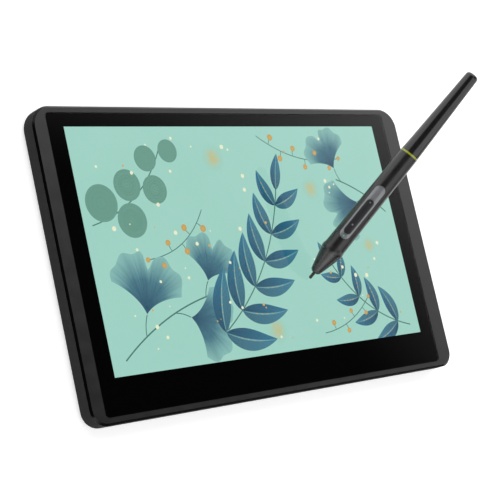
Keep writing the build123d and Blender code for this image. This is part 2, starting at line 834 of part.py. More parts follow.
# Nose cone: a domed front, a fine groove, a straight flank and a spigot inside the grip
nose_bore = nib_radius + nib_bore_gap
dome_end = nose_start + nose_dome_length
flank_slope = (nose_base_radius - nose_dome_radius) / (nose_end - dome_end)
with BuildPart() as pen_nose_cone:
    with BuildSketch(pen_section):
        with BuildLine():
            dome = SagittaArc((nose_front_radius, nose_start), (nose_dome_radius, dome_end),
                              -nose_dome_bulge)
            groove_end = dome_end + nose_groove_width
            groove_radius = nose_dome_radius + nose_groove_width * flank_slope
            Polyline(dome @ 1, (nose_dome_radius - nose_groove_depth, dome_end),
                     (groove_radius - nose_groove_depth, groove_end), (groove_radius, groove_end),
                     (nose_base_radius, nose_end), (spigot_radius, nose_end),
                     (spigot_radius, nose_end + spigot_length),
                     (spigot_radius - spigot_sheet, nose_end + spigot_length),
                     (spigot_radius - spigot_sheet, coil_chamber_end),
                     (coil_radius + thread_clearance, coil_chamber_end),
                     (coil_radius + thread_clearance, coil_chamber_start),
                     (nose_bore, coil_chamber_start), (nose_bore, nose_start), dome @ 0)
        make_face()
    revolve(axis=pen_axis)
save(pen_nose_cone, "pen_nose_cone")

# Grip barrel: a flared lip, a long taper, a stepped bore and the pocket of the switch inlay
with BuildPart() as pen_grip_barrel:
    grip_form(0, Mode.ADD)
    with BuildSketch(pen_section):
        with BuildLine():
            Polyline((0, grip_start - overrun), (grip_bore + grip_front_step, grip_start - overrun),
                     (grip_bore + grip_front_step, grip_start + grip_front_bore_depth),
                     (grip_bore, grip_start + grip_front_bore_depth), (grip_bore, grip_end + overrun),
                     (0, grip_end + overrun), close=True)
        make_face()
    revolve(axis=pen_axis, mode=Mode.SUBTRACT)
    with BuildSketch(along_top(inlay_floor - inlay_gap)):
        with Locations((inlay_middle, 0)):
            SlotOverall(inlay_length + 2 * inlay_gap, inlay_width + 2 * inlay_gap)
    extrude(amount=lip_radius, mode=Mode.SUBTRACT)
save(pen_grip_barrel, "pen_grip_barrel")

# Accent ring between the two barrels
tail_spigot_radius = grip_bore - thread_clearance
ring_bore = tail_spigot_radius + thread_clearance
with BuildPart() as pen_accent_ring:
    turned([(ring_bore, ring_start), (ring_radius, ring_start), (ring_radius, ring_end), (ring_bore, ring_end)])
save(pen_accent_ring, "pen_accent_ring")

# Rear barrel: tapered, with a rounded closed end and a spigot inside the ring and the grip
with BuildPart() as pen_rear_barrel:
    with BuildSketch(pen_section):
        with BuildLine():
            FilletPolyline((tail_start_radius, ring_end), (tail_end_radius, pen_length), (0, pen_length),
                           radius=tail_round)
            Polyline((0, pen_length), (0, pen_length - tail_bore_end),
                     (tail_bore_back, pen_length - tail_bore_end), (tail_bore_front, ring_end),
                     (tail_bore_front, ring_end - tail_spigot), (tail_spigot_radius, ring_end - tail_spigot),
                     (tail_spigot_radius, ring_end), (tail_start_radius, ring_end))
        make_face()
    revolve(axis=pen_axis)
save(pen_rear_barrel, "pen_rear_barrel")

# Switch inlay: follows the grip's form, with the rocker's slot, the light's hole and a thumb scoop
scoop_middle = (rocker_start + rocker_length + inlay_start + inlay_length) / 2
with BuildPart() as pen_switch_inlay:
    with BuildSketch(along_top(inlay_floor)):
        with Locations((inlay_middle, 0)):
            SlotOverall(inlay_length, inlay_width)
    extrude(amount=lip_radius)
    grip_form(-inlay_sink, Mode.INTERSECT)
    with BuildSketch(along_top(inlay_floor)):
        with Locations((rocker_middle, 0)):
            SlotOverall(rocker_length, rocker_width)
        with Locations((pen_light_place, 0)):
            Circle(pen_light_radius + thread_clearance)
    extrude(amount=lip_radius, mode=Mode.SUBTRACT)
    with Locations(Plane(origin=pen_tip + pen_dir * scoop_middle
                         + inlay_dir * (grip_radius(scoop_middle) + scoop_radius - scoop_depth),
                         z_dir=inlay_dir)):
        Sphere(scoop_radius, mode=Mode.SUBTRACT)
    with BuildSketch(Plane(origin=pen_tip + pen_dir * rocker_middle + inlay_dir * pin_height,
                           x_dir=pen_dir, z_dir=across_dir)):
        Circle(pin_radius + press_clearance)
    extrude(amount=inlay_width, both=True, mode=Mode.SUBTRACT)
save(pen_switch_inlay, "pen_switch_inlay")

# Rocker: one long button that tips both ways on its pin, with a raised mark near each end
with BuildPart() as pen_rocker:
    with BuildSketch(along_top(rocker_floor)):
        with Locations((rocker_middle, 0)):
            SlotOverall(rocker_length - 2 * rocker_gap, rocker_width - 2 * rocker_gap)
    extrude(amount=lip_radius)
    grip_form(rocker_proud, Mode.INTERSECT)
    fillet(pen_rocker.faces().sort_by(Axis(pen_tip, inlay_dir))[-1].edges(), radius=rocker_edge)
    with BuildSketch(Plane(origin=pen_tip + pen_dir * rocker_middle + inlay_dir * pin_height,
                           x_dir=pen_dir, z_dir=across_dir)):
        Circle(pin_radius + pin_fit)
    extrude(amount=rocker_width, both=True, mode=Mode.SUBTRACT)
    for mark_place in (rocker_start + mark_low_inset, rocker_start + rocker_length - mark_high_inset):
        with Locations(Plane(origin=pen_tip + pen_dir * mark_place
                             + inlay_dir * (grip_radius(mark_place) + rocker_proud + mark_proud - mark_radius),
                             z_dir=inlay_dir)):
            Sphere(mark_radius)
save(pen_rocker, "pen_rocker")

with BuildPart() as pen_rocker_pin:
    with BuildSketch(Plane(origin=pen_tip + pen_dir * rocker_middle + inlay_dir * pin_height,
                           x_dir=pen_dir, z_dir=across_dir)):
        Circle(pin_radius)
    extrude(amount=inlay_width / 2 - inlay_gap, both=True)
save(pen_rocker_pin, "pen_rocker_pin")

with BuildPart() as pen_light_pipe:
    with BuildSketch(along_top(pen_board_top)):
        with Locations((pen_light_place, 0)):
            Circle(pen_light_radius)
    extrude(amount=grip_radius(pen_light_place) - inlay_sink - pen_board_top)
save(pen_light_pipe, "pen_light_pipe")

# Inside the nose: ferrite core, its winding, the nib's holder and the pressure sensor
with BuildPart() as pen_ferrite_core:
    turned([(nose_bore, core_start), (core_radius, core_start),
            (core_radius, core_start + core_length), (nose_bore, core_start + core_length)])
save(pen_ferrite_core, "pen_ferrite_core")

with BuildPart() as pen_coil:
    turned([(core_radius + press_clearance, core_start + coil_inset), (coil_radius, core_start + coil_inset),
            (coil_radius, core_start + core_length - coil_inset),
            (core_radius + press_clearance, core_start + core_length - coil_inset)])
save(pen_coil, "pen_coil")

with BuildPart() as pen_nib_holder:
    turned([(0, nib_length + press_clearance), (nib_radius + press_clearance, nib_length + press_clearance),
            (nib_radius + press_clearance, holder_start), (holder_radius, holder_start),
            (holder_radius, holder_start + holder_length), (0, holder_start + holder_length)])
save(pen_nib_holder, "pen_nib_holder")

with BuildPart() as pen_pressure_sensor:
    turned([(0, sensor_start), (sensor_radius, sensor_start), (sensor_radius, sensor_end), (0, sensor_end)])
save(pen_pressure_sensor, "pen_pressure_sensor")

# Circuit board of the pen and the two small switches under the rocker
with BuildPart() as pen_circuit_board:
    with BuildSketch(along_top(pen_board_floor)):
        with Locations((sensor_end + pen_board_length / 2, 0)):
            Rectangle(pen_board_length, 2 * pen_board_half_width)
    extrude(amount=pen_board_thickness)
save(pen_circuit_board, "pen_circuit_board")

with BuildPart() as pen_side_switches:
    with BuildSketch(along_top(pen_board_top)):
        with Locations((rocker_middle, 0)):
            with GridLocations(pen_switch_spread, 0, 2, 1):
                Rectangle(pen_switch_size, pen_switch_size)
    extrude(amount=pen_switch_height)
    with BuildSketch(along_top(pen_board_top + pen_switch_height)):
        with Locations((rocker_middle, 0)):
            with GridLocations(pen_switch_spread, 0, 2, 1):
                Circle(plunger_radius)
    extrude(amount=plunger_height)
save(pen_side_switches, "pen_side_switches")
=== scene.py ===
# Looks of a graphics tablet with screen and its pen: finishes, screen picture, studio and camera
import json
import math
import random

import bmesh
import bpy
from mathutils import Matrix, Vector


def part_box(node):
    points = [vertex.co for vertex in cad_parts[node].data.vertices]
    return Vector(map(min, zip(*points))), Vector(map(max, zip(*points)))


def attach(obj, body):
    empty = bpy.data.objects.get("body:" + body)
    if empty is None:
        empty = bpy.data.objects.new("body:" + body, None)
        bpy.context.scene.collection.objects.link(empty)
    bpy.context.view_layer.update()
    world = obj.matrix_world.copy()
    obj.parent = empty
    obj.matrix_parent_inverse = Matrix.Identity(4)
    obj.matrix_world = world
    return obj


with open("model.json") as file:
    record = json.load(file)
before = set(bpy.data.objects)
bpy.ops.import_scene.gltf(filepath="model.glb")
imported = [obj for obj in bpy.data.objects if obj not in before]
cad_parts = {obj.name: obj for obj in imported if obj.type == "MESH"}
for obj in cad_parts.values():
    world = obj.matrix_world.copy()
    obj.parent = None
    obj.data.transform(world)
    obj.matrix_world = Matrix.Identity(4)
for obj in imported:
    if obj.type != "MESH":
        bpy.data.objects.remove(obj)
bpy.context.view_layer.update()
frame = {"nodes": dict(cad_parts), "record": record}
nodes = frame["nodes"]
MM = 0.001

# Screen's active area, and the step and thickness of its picture's layers, in millimetres
active_width = 255.6
active_height = 143.8
layer_step = 0.012
ink_thickness = 0.01

# Places in metres: middle of the active area, under which the sensing board is centred, and two tops
active_middle = sum(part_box("digitizer_board"), Vector()) / 2
screen_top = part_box("lcd_cell")[1].z
glass_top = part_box("cover_glass")[1].z

# Rocker's raised marks, in millimetres from its pin: places along the pen, height, and radii of the fade of
# the painted highlight on their tops
mark_places = (-6.35, 11.25)
mark_height = 2.6
highlight_core = 0.4
highlight_rim = 0.6

# Sizes of the features in the finishes, in millimetres, and the range of noise that is in use
cloud_size = 18
patch_size = 7
grain_size = 0.35
rocker_grain_size = 0.2
rolling_size = 2
glass_tint_size = 30
border_patch_size = 3
ground_cloud_size = 40
twig_patch_size = 3
puff_patch_size = 2.5
paper_cloud_size = 200
noise_low = 0.3
noise_high = 0.7

# Depths of the relief in the finishes, in millimetres
grain_depth = 0.01
rolling_depth = 0.004
trace_depth = 0.02
winding_depth = 0.05

# Front frame: rise of the normal where the slanted edge's painted shade and finish fade in and out, and
# both finishes
edge_fade_in = (0.5, 0.6)
edge_fade_out = (0.9, 0.8)
edge_specular = 0.19
edge_roughness = 0.16
face_specular = 0.77
face_roughness = (0.29, 0.34)

# Picture's strokes and dots: widths and radii in millimetres, and the number of loose dots
spray_twig_width = 0.8
fan_twig_width = 0.9
fan_stalk_width = 0.6
leaf_twig_width = 0.7
berry_twig_width = 0.55
berry_stalk_width = 0.45
leaf_spot_radius = 0.42
smallest_dot = 0.45
largest_dot = 1.5
loose_dots = 64

# Picture's motifs, in millimetres from its middle; a bow is a share of the twig's length
# Gold puffs: place and radius
gold_puffs = (((-22, 52), 8.5), ((-104, -16), 6.5), ((56, 30), 7.5), ((98, -10), 6.0), ((0, -58), 8.0))
# Round leaves: start, end, bow, number and largest radius
leaf_twig = ((-122, 14), (-62, 60), -0.22, 6, 12.0)
# Fans: foot, direction in degrees, bow and sizes
fan_twigs = (((-118, -64), 24, 0.12, (37, 33, 29)),
             ((122, 12), 150, -0.1, (31, 28)))
# Leaf sprays: start, end, bow, pairs, and the largest leaf's length and width
sprays = (((-52, -62), (26, 34), -0.2, 6, 42, 14),
          ((120, -66), (58, -18), 0.22, 4, 29, 10))
# Berries: start, end, bow, number and largest radius
berry_twigs = (((-40, 20), (-88, -8), 0.25, 6, 2.3),
               ((18, 66), (88, 50), -0.2, 7, 2.2),
               ((40, -64), (86, -44), -0.18, 5, 1.9))

# Camera, in millimetres from the middle of the active area on the glass, and its image of 500 x 500 pixels
camera_place = Vector((-595.70, -135.84, 625.39))
camera_view = Vector((0.67659, 0.14837, -0.72126))
camera_up = Vector((0.05909, 0.96539, 0.25402))
focal_pixels = 1420.18
image_pixels = 500
sensor_width = 36.0

# Studio: size of the floor in metres, its glow where it is seen, and the level of the even light
floor_size = 12.0
floor_glow = 0.6
studio_light = 1.3
# Soft-edged cards in that light: direction, angles in degrees where each is full and where it ends, level
cards = [(Vector((0.44, -0.12, 0.89)), 22.0, 34.5, 0.03),
         (Vector((-0.7, 0.02, 0.71)), 29.0, 38.0, 0.03),
         (Vector((0.68, -0.722, 0.1)), 12.0, 18.0, 0.03),
         (Vector((0.3, -0.95, 0.06)), 15.0, 36.0, 0.1),
         (Vector((-0.6, -0.7, 0.38)), 8.0, 26.0, 1.7),
         (Vector((0.55, 0.6, 0.58)), 12.0, 40.0, 1.5)]


def srgb(red, green, blue):
    """Linear colour of a screen colour from 0 to 255"""
    shares = [value / 255 for value in (red, green, blue)]
    linear = [share / 12.92 if share <= 0.04 else ((share + 0.055) / 1.055) ** 2.4 for share in shares]
    return (*linear, 1.0)


# Node helpers

class Graph:
    """A node tree, and short ways to add nodes to it"""

    def __init__(self, node_tree):
        self.nodes = node_tree.nodes
        self.links = node_tree.links

    def add(self, kind, **settings):
        node = self.nodes.new(kind)
        for name, value in settings.items():
            setattr(node, name, value)
        return node

    def set(self, socket, value):
        """Links value into a socket if it is an output, and otherwise writes it there"""
        if isinstance(value, bpy.types.NodeSocket):
            self.links.new(value, socket)
        else:
            socket.default_value = value

    def math(self, operation, *values):
        node = self.add("ShaderNodeMath", operation=operation)
        for socket, value in zip(node.inputs, values):
            self.set(socket, value)
        return node.outputs[0]

    def range(self, value, low, high, to_low=0.0, to_high=1.0, kind="LINEAR"):
        node = self.add("ShaderNodeMapRange", interpolation_type=kind)
        for socket, number in zip(node.inputs, (value, low, high, to_low, to_high)):
            self.set(socket, number)
        return node.outputs[0]

    def mix(self, factor, first, second):
        node = self.add("ShaderNodeMix", data_type="RGBA")
        for socket, value in zip((node.inputs[0], node.inputs[6], node.inputs[7]), (factor, first, second)):
            self.set(socket, value)
        return node.outputs[2]


class Tree(Graph):
    """A material's node tree with its Principled shader"""

    def __init__(self, name, **sockets):
        self.material = bpy.data.materials.new(name)
        self.material.use_nodes = True
        super().__init__(self.material.node_tree)
        self.shader = self.nodes["Principled BSDF"]
        for socket, value in sockets.items():
            self.shader.inputs[socket.replace("_", " ")].default_value = value
        self.object_place = self.add("ShaderNodeTexCoord").outputs["Object"]

    def noise(self, size, detail=2.0, place=None, stretch=None):
        """Noise whose features are about size metres across"""
        node = self.add("ShaderNodeTexNoise")
        self.set(node.inputs["Scale"], 1.0 / size)
        self.set(node.inputs["Detail"], detail)
        where = place or self.object_place
        if stretch:
            mapping = self.add("ShaderNodeMapping")
            mapping.inputs["Scale"].default_value = stretch
            self.links.new(where, mapping.inputs["Vector"])
            where = mapping.outputs[0]
        self.links.new(where, node.inputs["Vector"])
        return node.outputs["Fac"]

    def clouds(self):
        """Wide faint mottling"""
        return self.noise(cloud_size * MM, 4.0)

    def patches(self, low, high):
        """Roughness that wanders between low and high in patches"""
        return self.range(self.noise(patch_size * MM, 3.0), noise_low, noise_high, low, high)

    def bands(self, scale, **settings):
        """Straight bands, each about 0.3 metres over scale wide"""
        wave = self.add("ShaderNodeTexWave", wave_type="BANDS", **settings)
        wave.inputs["Scale"].default_value = scale
        self.links.new(self.object_place, wave.inputs["Vector"])
        return wave

    def colour(self, value):
        self.links.new(value, self.shader.inputs["Base Color"])

    def roughness(self, value):
        self.links.new(value, self.shader.inputs["Roughness"])

    def bump(self, height, distance):
        node = self.add("ShaderNodeBump")
        node.inputs["Distance"].default_value = distance
        self.links.new(height, node.inputs["Height"])
        self.links.new(node.outputs[0], self.shader.inputs["Normal"])


def shade(colour, share):
    """A colour made darker or lighter by a share"""
    return (*[c * share for c in colour[:3]], 1.0)


# Finishes

def moulded(name, colour, roughness, grain=grain_size, depth=grain_depth, **sockets):
    """Moulded plastic or rubber: fine grain, faint mottling and slightly uneven gloss"""
    tree = Tree(name, **sockets)
    tree.colour(tree.mix(tree.clouds(), shade(colour, 0.92), shade(colour, 1.08)))
    tree.roughness(tree.patches(roughness - 0.04, roughness + 0.04))
    tree.bump(tree.noise(grain * MM, 1.5), depth * MM)
    return tree.material


def satin_frame(name):
    """Satin moulded frame whose slanted front edge is polished and darkened with painted shade"""
    tree = Tree(name, Specular_IOR_Level=face_specular)
    normal = tree.add("ShaderNodeSeparateXYZ")
    tree.links.new(tree.add("ShaderNodeTexCoord").outputs["Normal"], normal.inputs[0])
    rise = normal.outputs["Z"]
    edge = tree.math("MULTIPLY", tree.range(rise, *edge_fade_in), tree.range(rise, *edge_fade_out))
    face = tree.mix(tree.clouds(), srgb(16, 16, 17), srgb(20, 20, 21))
    # Painted shade: the slanted edge's colour is near black, standing in for the dark line of shade and
    # dark reflection along it
    tree.colour(tree.mix(edge, face, srgb(5, 5, 5)))
    tree.roughness(tree.range(edge, 0.0, 1.0, tree.patches(*face_roughness), edge_roughness))
    specular = tree.range(edge, 0.0, 1.0, face_specular, edge_specular)
    tree.set(tree.shader.inputs["Specular IOR Level"], specular)
    grain = tree.math("MULTIPLY", tree.noise(grain_size * MM, 1.5), tree.math("SUBTRACT", 1.0, edge))
    tree.bump(grain, grain_depth * MM)
    return tree.material


def marked_rocker(name):
    """Satin black with a painted highlight on the top of each of its two raised marks"""
    tree = Tree(name, Specular_IOR_Level=0.62, Roughness=0.3)
    joints = {joint["name"]: joint for joint in frame["record"]["behaviour"]["joints"]}
    along = Vector(joints["pen_lift"]["axis"])
    out = along.cross(Vector(joints["rocker_tip"]["axis"]))
    pin = Vector(joints["rocker_tip"]["pos_m"])
    near = 1.0
    for place in mark_places:
        gap = tree.add("ShaderNodeVectorMath", operation="DISTANCE")
        tree.links.new(tree.object_place, gap.inputs[0])
        gap.inputs[1].default_value = pin + (along * place + out * mark_height) * MM
        near = tree.math("MINIMUM", near, gap.outputs["Value"])
    body = tree.mix(tree.clouds(), srgb(42, 42, 44), srgb(48, 48, 50))
    # Painted highlight: a light grey spot on each mark's top, fading out between the two radii
    tree.colour(tree.mix(tree.range(near, highlight_rim * MM, highlight_core * MM), body, srgb(149, 151, 153)))
    tree.bump(tree.noise(rocker_grain_size * MM, 1.5), grain_depth * MM)
    return tree.material


def rolled(name, colour, roughness, stretch=(1.0, 12.0, 12.0)):
    """Rolled or brushed sheet metal, with its lines along X"""
    tree = Tree(name, Metallic=1.0)
    lines = tree.noise(rolling_size * MM, 3.0, stretch=stretch)
    tree.colour(tree.mix(lines, shade(colour, 0.9), shade(colour, 1.08)))
    tree.roughness(tree.range(lines, noise_low, noise_high, roughness - 0.06, roughness + 0.08))
    tree.bump(lines, rolling_depth * MM)
    return tree.material


def circuit_board(name):
    """Green solder mask over copper traces"""
    tree = Tree(name, Roughness=0.35)
    wave = tree.bands(180.0, bands_direction="DIAGONAL")
    wave.inputs["Distortion"].default_value = 3.0
    traces = tree.range(wave.outputs["Fac"], 0.55, 0.6)
    tree.colour(tree.mix(traces, srgb(15, 65, 40), srgb(27, 92, 54)))
    tree.bump(traces, trace_depth * MM)
    return tree.material


def flat_cable(name):
    """Amber film with fine copper conductors along it"""
    tree = Tree(name, Roughness=0.3)
    strands = tree.bands(300.0, bands_direction="X").outputs["Fac"]
    tree.colour(tree.mix(strands, srgb(106, 58, 13), srgb(174, 106, 38)))
    return tree.material


def copper_winding(name):
    """Enamelled wire in fine level rows"""
    tree = Tree(name, Metallic=0.9, Roughness=0.32)
    turns = tree.bands(900.0, bands_direction="Z").outputs["Fac"]
    tree.colour(tree.mix(turns, srgb(106, 51, 22), srgb(190, 110, 58)))
    tree.bump(turns, winding_depth * MM)
    return tree.material


def clear_glass(name):
    """Smooth clear cover glass with the faintest change of tint"""
    tree = Tree(name, Transmission_Weight=1.0, IOR=1.39, Roughness=0.0)
    tree.colour(tree.mix(tree.noise(glass_tint_size * MM), srgb(250, 253, 252), srgb(254, 255, 255)))
    return tree.material


def printed_border(name):
    """Black ink under the glass"""
    tree = Tree(name, Roughness=0.6, Specular_IOR_Level=0.1)
    tree.colour(tree.mix(tree.noise(border_patch_size * MM, 4.0), srgb(1, 1, 2), srgb(3, 3, 4)))
    return tree.material


def glowing(name, paint):
    """Lit picture on the screen: paint(tree) gives its colour"""
    tree = Tree(name, Base_Color=(0.0, 0.0, 0.0, 1.0), Roughness=0.5, Specular_IOR_Level=0.0)
    tree.shader.inputs["Emission Strength"].default_value = 1.0
    tree.links.new(paint(tree), tree.shader.inputs["Emission Color"])
    return tree.material


# Colours of the picture
sea_green = srgb(157, 210, 196)
pale_green = srgb(163, 214, 200)
deep_blue = srgb(27, 78, 104)
mid_blue = srgb(44, 118, 148)
soft_blue = srgb(92, 150, 160)
midrib = srgb(120, 176, 176)
sage = srgb(112, 165, 148)
dark_sage = srgb(76, 126, 112)
twig_green = srgb(62, 112, 104)
gold = srgb(212, 172, 94)
deep_gold = srgb(198, 152, 76)
puff_gold = srgb(206, 186, 110)
cream = srgb(238, 240, 206)


def paint_ground(tree):
    return tree.mix(tree.noise(ground_cloud_size * MM, 3.0), sea_green, pale_green)


def leaf_streaks(tree, u, v):
    """Fine veins that run out along a leaf, from 0 to 1"""
    place = tree.add("ShaderNodeCombineXYZ")
    tree.set(place.inputs[0], tree.math("MULTIPLY", u, 1.4))
    tree.set(place.inputs[1], tree.math("MULTIPLY", v, 26.0))
    tree.set(place.inputs[2], tone_of(tree))
    return tree.range(tree.noise(1.0, 2.0, place=place.outputs[0]), 0.35, 0.65)


def uv_of(tree):
    split = tree.add("ShaderNodeSeparateXYZ")
    tree.links.new(tree.add("ShaderNodeUVMap", uv_map="spread").outputs[0], split.inputs[0])
    return split.outputs[0], split.outputs[1]


def tone_of(tree):
    return tree.add("ShaderNodeAttribute", attribute_name="tone").outputs["Fac"]


def paint_long_leaf(tree):
    """Deep blue leaf: lighter towards its tip and on one side of its midrib, with slanting veins"""
    u, v = uv_of(tree)
    side = tree.math("SUBTRACT", v, 0.5)
    aside = tree.math("ABSOLUTE", side)
    body = tree.mix(tree.range(u, 0.1, 1.0), deep_blue, mid_blue)
    body = tree.mix(tree.range(side, -0.02, 0.02, 0.0, 0.3), body, soft_blue)
    vein = tree.math("FRACT", tree.math("SUBTRACT", tree.math("MULTIPLY", u, 11.0),
                                        tree.math("MULTIPLY", aside, 4.0)))
    body = tree.mix(tree.range(vein, 0.86, 0.9, 0.0, 0.45), body, deep_blue)
    return tree.mix(tree.range(aside, 0.05, 0.02, 0.0, 0.85), body, midrib)


def paint_fan(tree):
    """Fan-shaped leaf: deep at its stalk, thin and pale at its rim, with streaks between"""
    u, v = uv_of(tree)
    streak = leaf_streaks(tree, u, v)
    body = tree.mix(tree.range(u, 0.1, 0.85), deep_blue, soft_blue)
    body = tree.mix(tree.math("MULTIPLY", streak, 0.55), body, deep_blue)
    return tree.mix(tree.range(u, 0.55, 1.02, 0.0, 0.62), body, sea_green)


def paint_round_leaf(tree):
    """Grey-green round leaf with a few darker strokes"""
    u, v = uv_of(tree)
    return tree.mix(tree.math("MULTIPLY", leaf_streaks(tree, v, u), 0.6), sage, dark_sage)


def paint_twig(tree):
    return tree.mix(tree.noise(twig_patch_size * MM), twig_green, dark_sage)


def paint_berry(tree):
    u, _ = uv_of(tree)
    return tree.mix(u, gold, deep_gold)


def paint_petal(tree):
    return tree.mix(tone_of(tree), cream, gold)


def paint_puff(tree):
    """Soft gold puff that fades into the ground at its rim"""
    u, _ = uv_of(tree)
    fade = tree.range(u, 1.0, 0.1, 0.0, 0.7, "SMOOTHSTEP")
    dust = tree.range(tree.noise(puff_patch_size * MM, 3.0), 0.25, 0.6, 0.35, 1.0)
    return tree.mix(tree.math("MULTIPLY", fade, dust), sea_green, puff_gold)


# Picture on the screen: leaf sprays, fans, round leaves, twigs with berries, gold puffs and loose dots

class Picture:
    """Flat shapes on the screen that share a finish, drawn in millimetres from its middle"""

    def __init__(self, name, layer, paint):
        self.name = name
        self.layer = layer
        self.paint = paint
        self.mesh = bmesh.new()
        self.spread = self.mesh.loops.layers.uv.new("spread")
        self.tone = self.mesh.loops.layers.float_color.new("tone")

    def vert(self, place):
        x = active_middle.x + place[0] * MM
        y = active_middle.y + place[1] * MM
        return self.mesh.verts.new((x, y, screen_top + self.layer * layer_step * MM))

    def face(self, corners, spreads, tone):
        face = self.mesh.faces.new(corners)
        for loop, spread in zip(face.loops, spreads):
            loop[self.spread].uv = spread
            loop[self.tone] = (tone, tone, tone, 1.0)

    def sheet(self, point, columns, rows, tone=0.0):
        """A sheet of quads: point(u, v) gives its place for u and v from 0 to 1"""
        grid = [[self.vert(point(i / columns, j / rows)) for j in range(rows + 1)]
                for i in range(columns + 1)]
        for i in range(columns):
            for j in range(rows):
                steps = ((i, j), (i + 1, j), (i + 1, j + 1), (i, j + 1))
                self.face([grid[a][b] for a, b in steps], [(a / columns, b / rows) for a, b in steps], tone)

    def disc(self, centre, radius, tone=0.0, segments=20):
        middle = self.vert(centre)
        rim = [self.vert(centre + radius * heading(math.tau * k / segments)) for k in range(segments)]
        for k in range(segments):
            self.face([middle, rim[k], rim[(k + 1) % segments]], [(0, 0), (1, 0), (1, 1)], tone)

    def finish(self):
        data = bpy.data.meshes.new(self.name)
        bmesh.ops.recalc_face_normals(self.mesh, faces=self.mesh.faces)
        self.mesh.to_mesh(data)
        self.mesh.free()
        piece = bpy.data.objects.new(self.name, data)
        bpy.context.scene.collection.objects.link(piece)
        data.materials.append(glowing(self.name, self.paint))
        thick = piece.modifiers.new("ink", "SOLIDIFY")
        thick.thickness = ink_thickness * MM
        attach(piece, "tablet")


def heading(angle):
    return Vector((math.cos(angle), math.sin(angle)))


def bezier(start, middle, end, t):
    return start * (1 - t) ** 2 + middle * 2 * t * (1 - t) + end * t ** 2


def bezier_side(start, middle, end, t):
    """Unit vector to the left of the curve"""
    along = ((middle - start) * (1 - t) + (end - middle) * t).normalized()
    return Vector((-along.y, along.x))


def bend_point(start, end, bow):
    """Middle control point of a curve that bows to the left by a share of its length"""
    along = end - start
    return (start + end) / 2 + Vector((-along.y, along.x)) * bow


def draw_leaf(picture, start, end, width, bow, tone):
    """Long leaf with pointed ends that bows to one side"""
    middle = bend_point(start, end, bow)

    def point(u, v):
        half = width / 2 * (math.sin(math.pi * u ** 0.8) ** 0.9 + 0.01)
        return bezier(start, middle, end, u) + bezier_side(start, middle, end, u) * half * (1 - 2 * v)

    picture.sheet(point, 18, 8, tone)


def draw_fan(picture, base, angle, radius, spread, tone):
    """Fan-shaped leaf with a notch in its rippled rim"""

    def point(u, v):
        side = v - 0.5
        notch = 1 - 0.28 * math.exp(-(side / 0.045) ** 2) * u ** 3
        ripple = 1 + 0.035 * math.sin(side * 31 + tone * 5) * u ** 2
        reach = radius * (0.02 + 0.98 * u) * notch * ripple * (1 - 0.22 * (2 * side) ** 4)
        return base + heading(angle + side * spread * (0.35 + 0.65 * u ** 0.5)) * reach

    picture.sheet(point, 16, 40, tone)


def draw_stroke(picture, start, end, width, bow):
    """Even stroke that bows to one side"""
    middle = bend_point(start, end, bow)

    def point(u, v):
        return bezier(start, middle, end, u) + bezier_side(start, middle, end, u) * width * (0.5 - v)

    picture.sheet(point, 16, 1)


def draw_spray(leaves, twigs, gold_dots, start, end, bow, pairs, length, width):
    """A twig with pairs of long leaves that get smaller towards its tip"""
    middle = bend_point(start, end, bow)
    draw_stroke(twigs, start, end, spray_twig_width, bow)
    for k in range(pairs):
        t = (k + 0.6) / (pairs + 0.3)
        root = bezier(start, middle, end, t)
        side = bezier_side(start, middle, end, t)
        along = Vector((side.y, -side.x))
        reach = length * (1 - 0.45 * t)
        for turn in (-1, 1):
            tip = root + (along * 0.72 + side * turn * 0.7).normalized() * reach
            draw_leaf(leaves, root, tip, width * (1 - 0.35 * t), 0.13 * turn, k / pairs)
            for share in (0.3, 0.42, 0.54, 0.66):
                spot = bezier(root, bend_point(root, tip, 0.13 * turn), tip, share)
                gold_dots.disc(spot, leaf_spot_radius, segments=10)
    draw_leaf(leaves, bezier(start, middle, end, 0.97), end + (end - middle).normalized() * length * 0.5,
              width * 0.6, 0.05, 1.0)


def draw_fans(fans, twigs, base, angle, bow, sizes):
    """A twig that carries fan-shaped leaves on thin stalks"""
    length = sum(sizes) * 0.8
    end = base + heading(angle) * length
    middle = bend_point(base, end, bow)
    draw_stroke(twigs, base, end, fan_twig_width, bow)
    for k, size in enumerate(sizes):
        t = (k + 0.8) / len(sizes)
        root = bezier(base, middle, end, min(t, 1.0))
        turn = (0.95, -0.85)[k % 2] * (1 - 0.25 * t)
        foot = root + heading(angle + turn) * size * 0.35
        draw_stroke(twigs, root, foot, fan_stalk_width, 0.12)
        draw_fan(fans, foot, angle + turn, size, math.radians(118), k / len(sizes))


def draw_berries(berries, twigs, start, end, bow, count, radius):
    """A thin bowed twig with a berry on a short stalk at each step"""
    middle = bend_point(start, end, bow)
    draw_stroke(twigs, start, end, berry_twig_width, bow)
    for k in range(count):
        t = (k + 1) / count
        root = bezier(start, middle, end, t)
        last = k == count - 1
        side = bezier_side(start, middle, end, t) * (-1) ** k
        tip = root + side * radius * (0.0 if last else 2.4)
        berries.disc(tip, radius * (1 - 0.3 * t))
        if not last:
            draw_stroke(twigs, root, tip, berry_stalk_width, 0.1)


def draw_round_leaves(leaves, twigs, start, end, bow, count, radius):
    """A twig with round leaves set left and right"""
    middle = bend_point(start, end, bow)
    draw_stroke(twigs, start, end, leaf_twig_width, bow)
    for k in range(count):
        t = (k + 1) / count
        size = radius * (1 - 0.4 * t)
        side = bezier_side(start, middle, end, t)
        spot = bezier(start, middle, end, t) + side * (-1) ** k * size * 0.85
        leaves.disc(spot, size, k / count, 32)


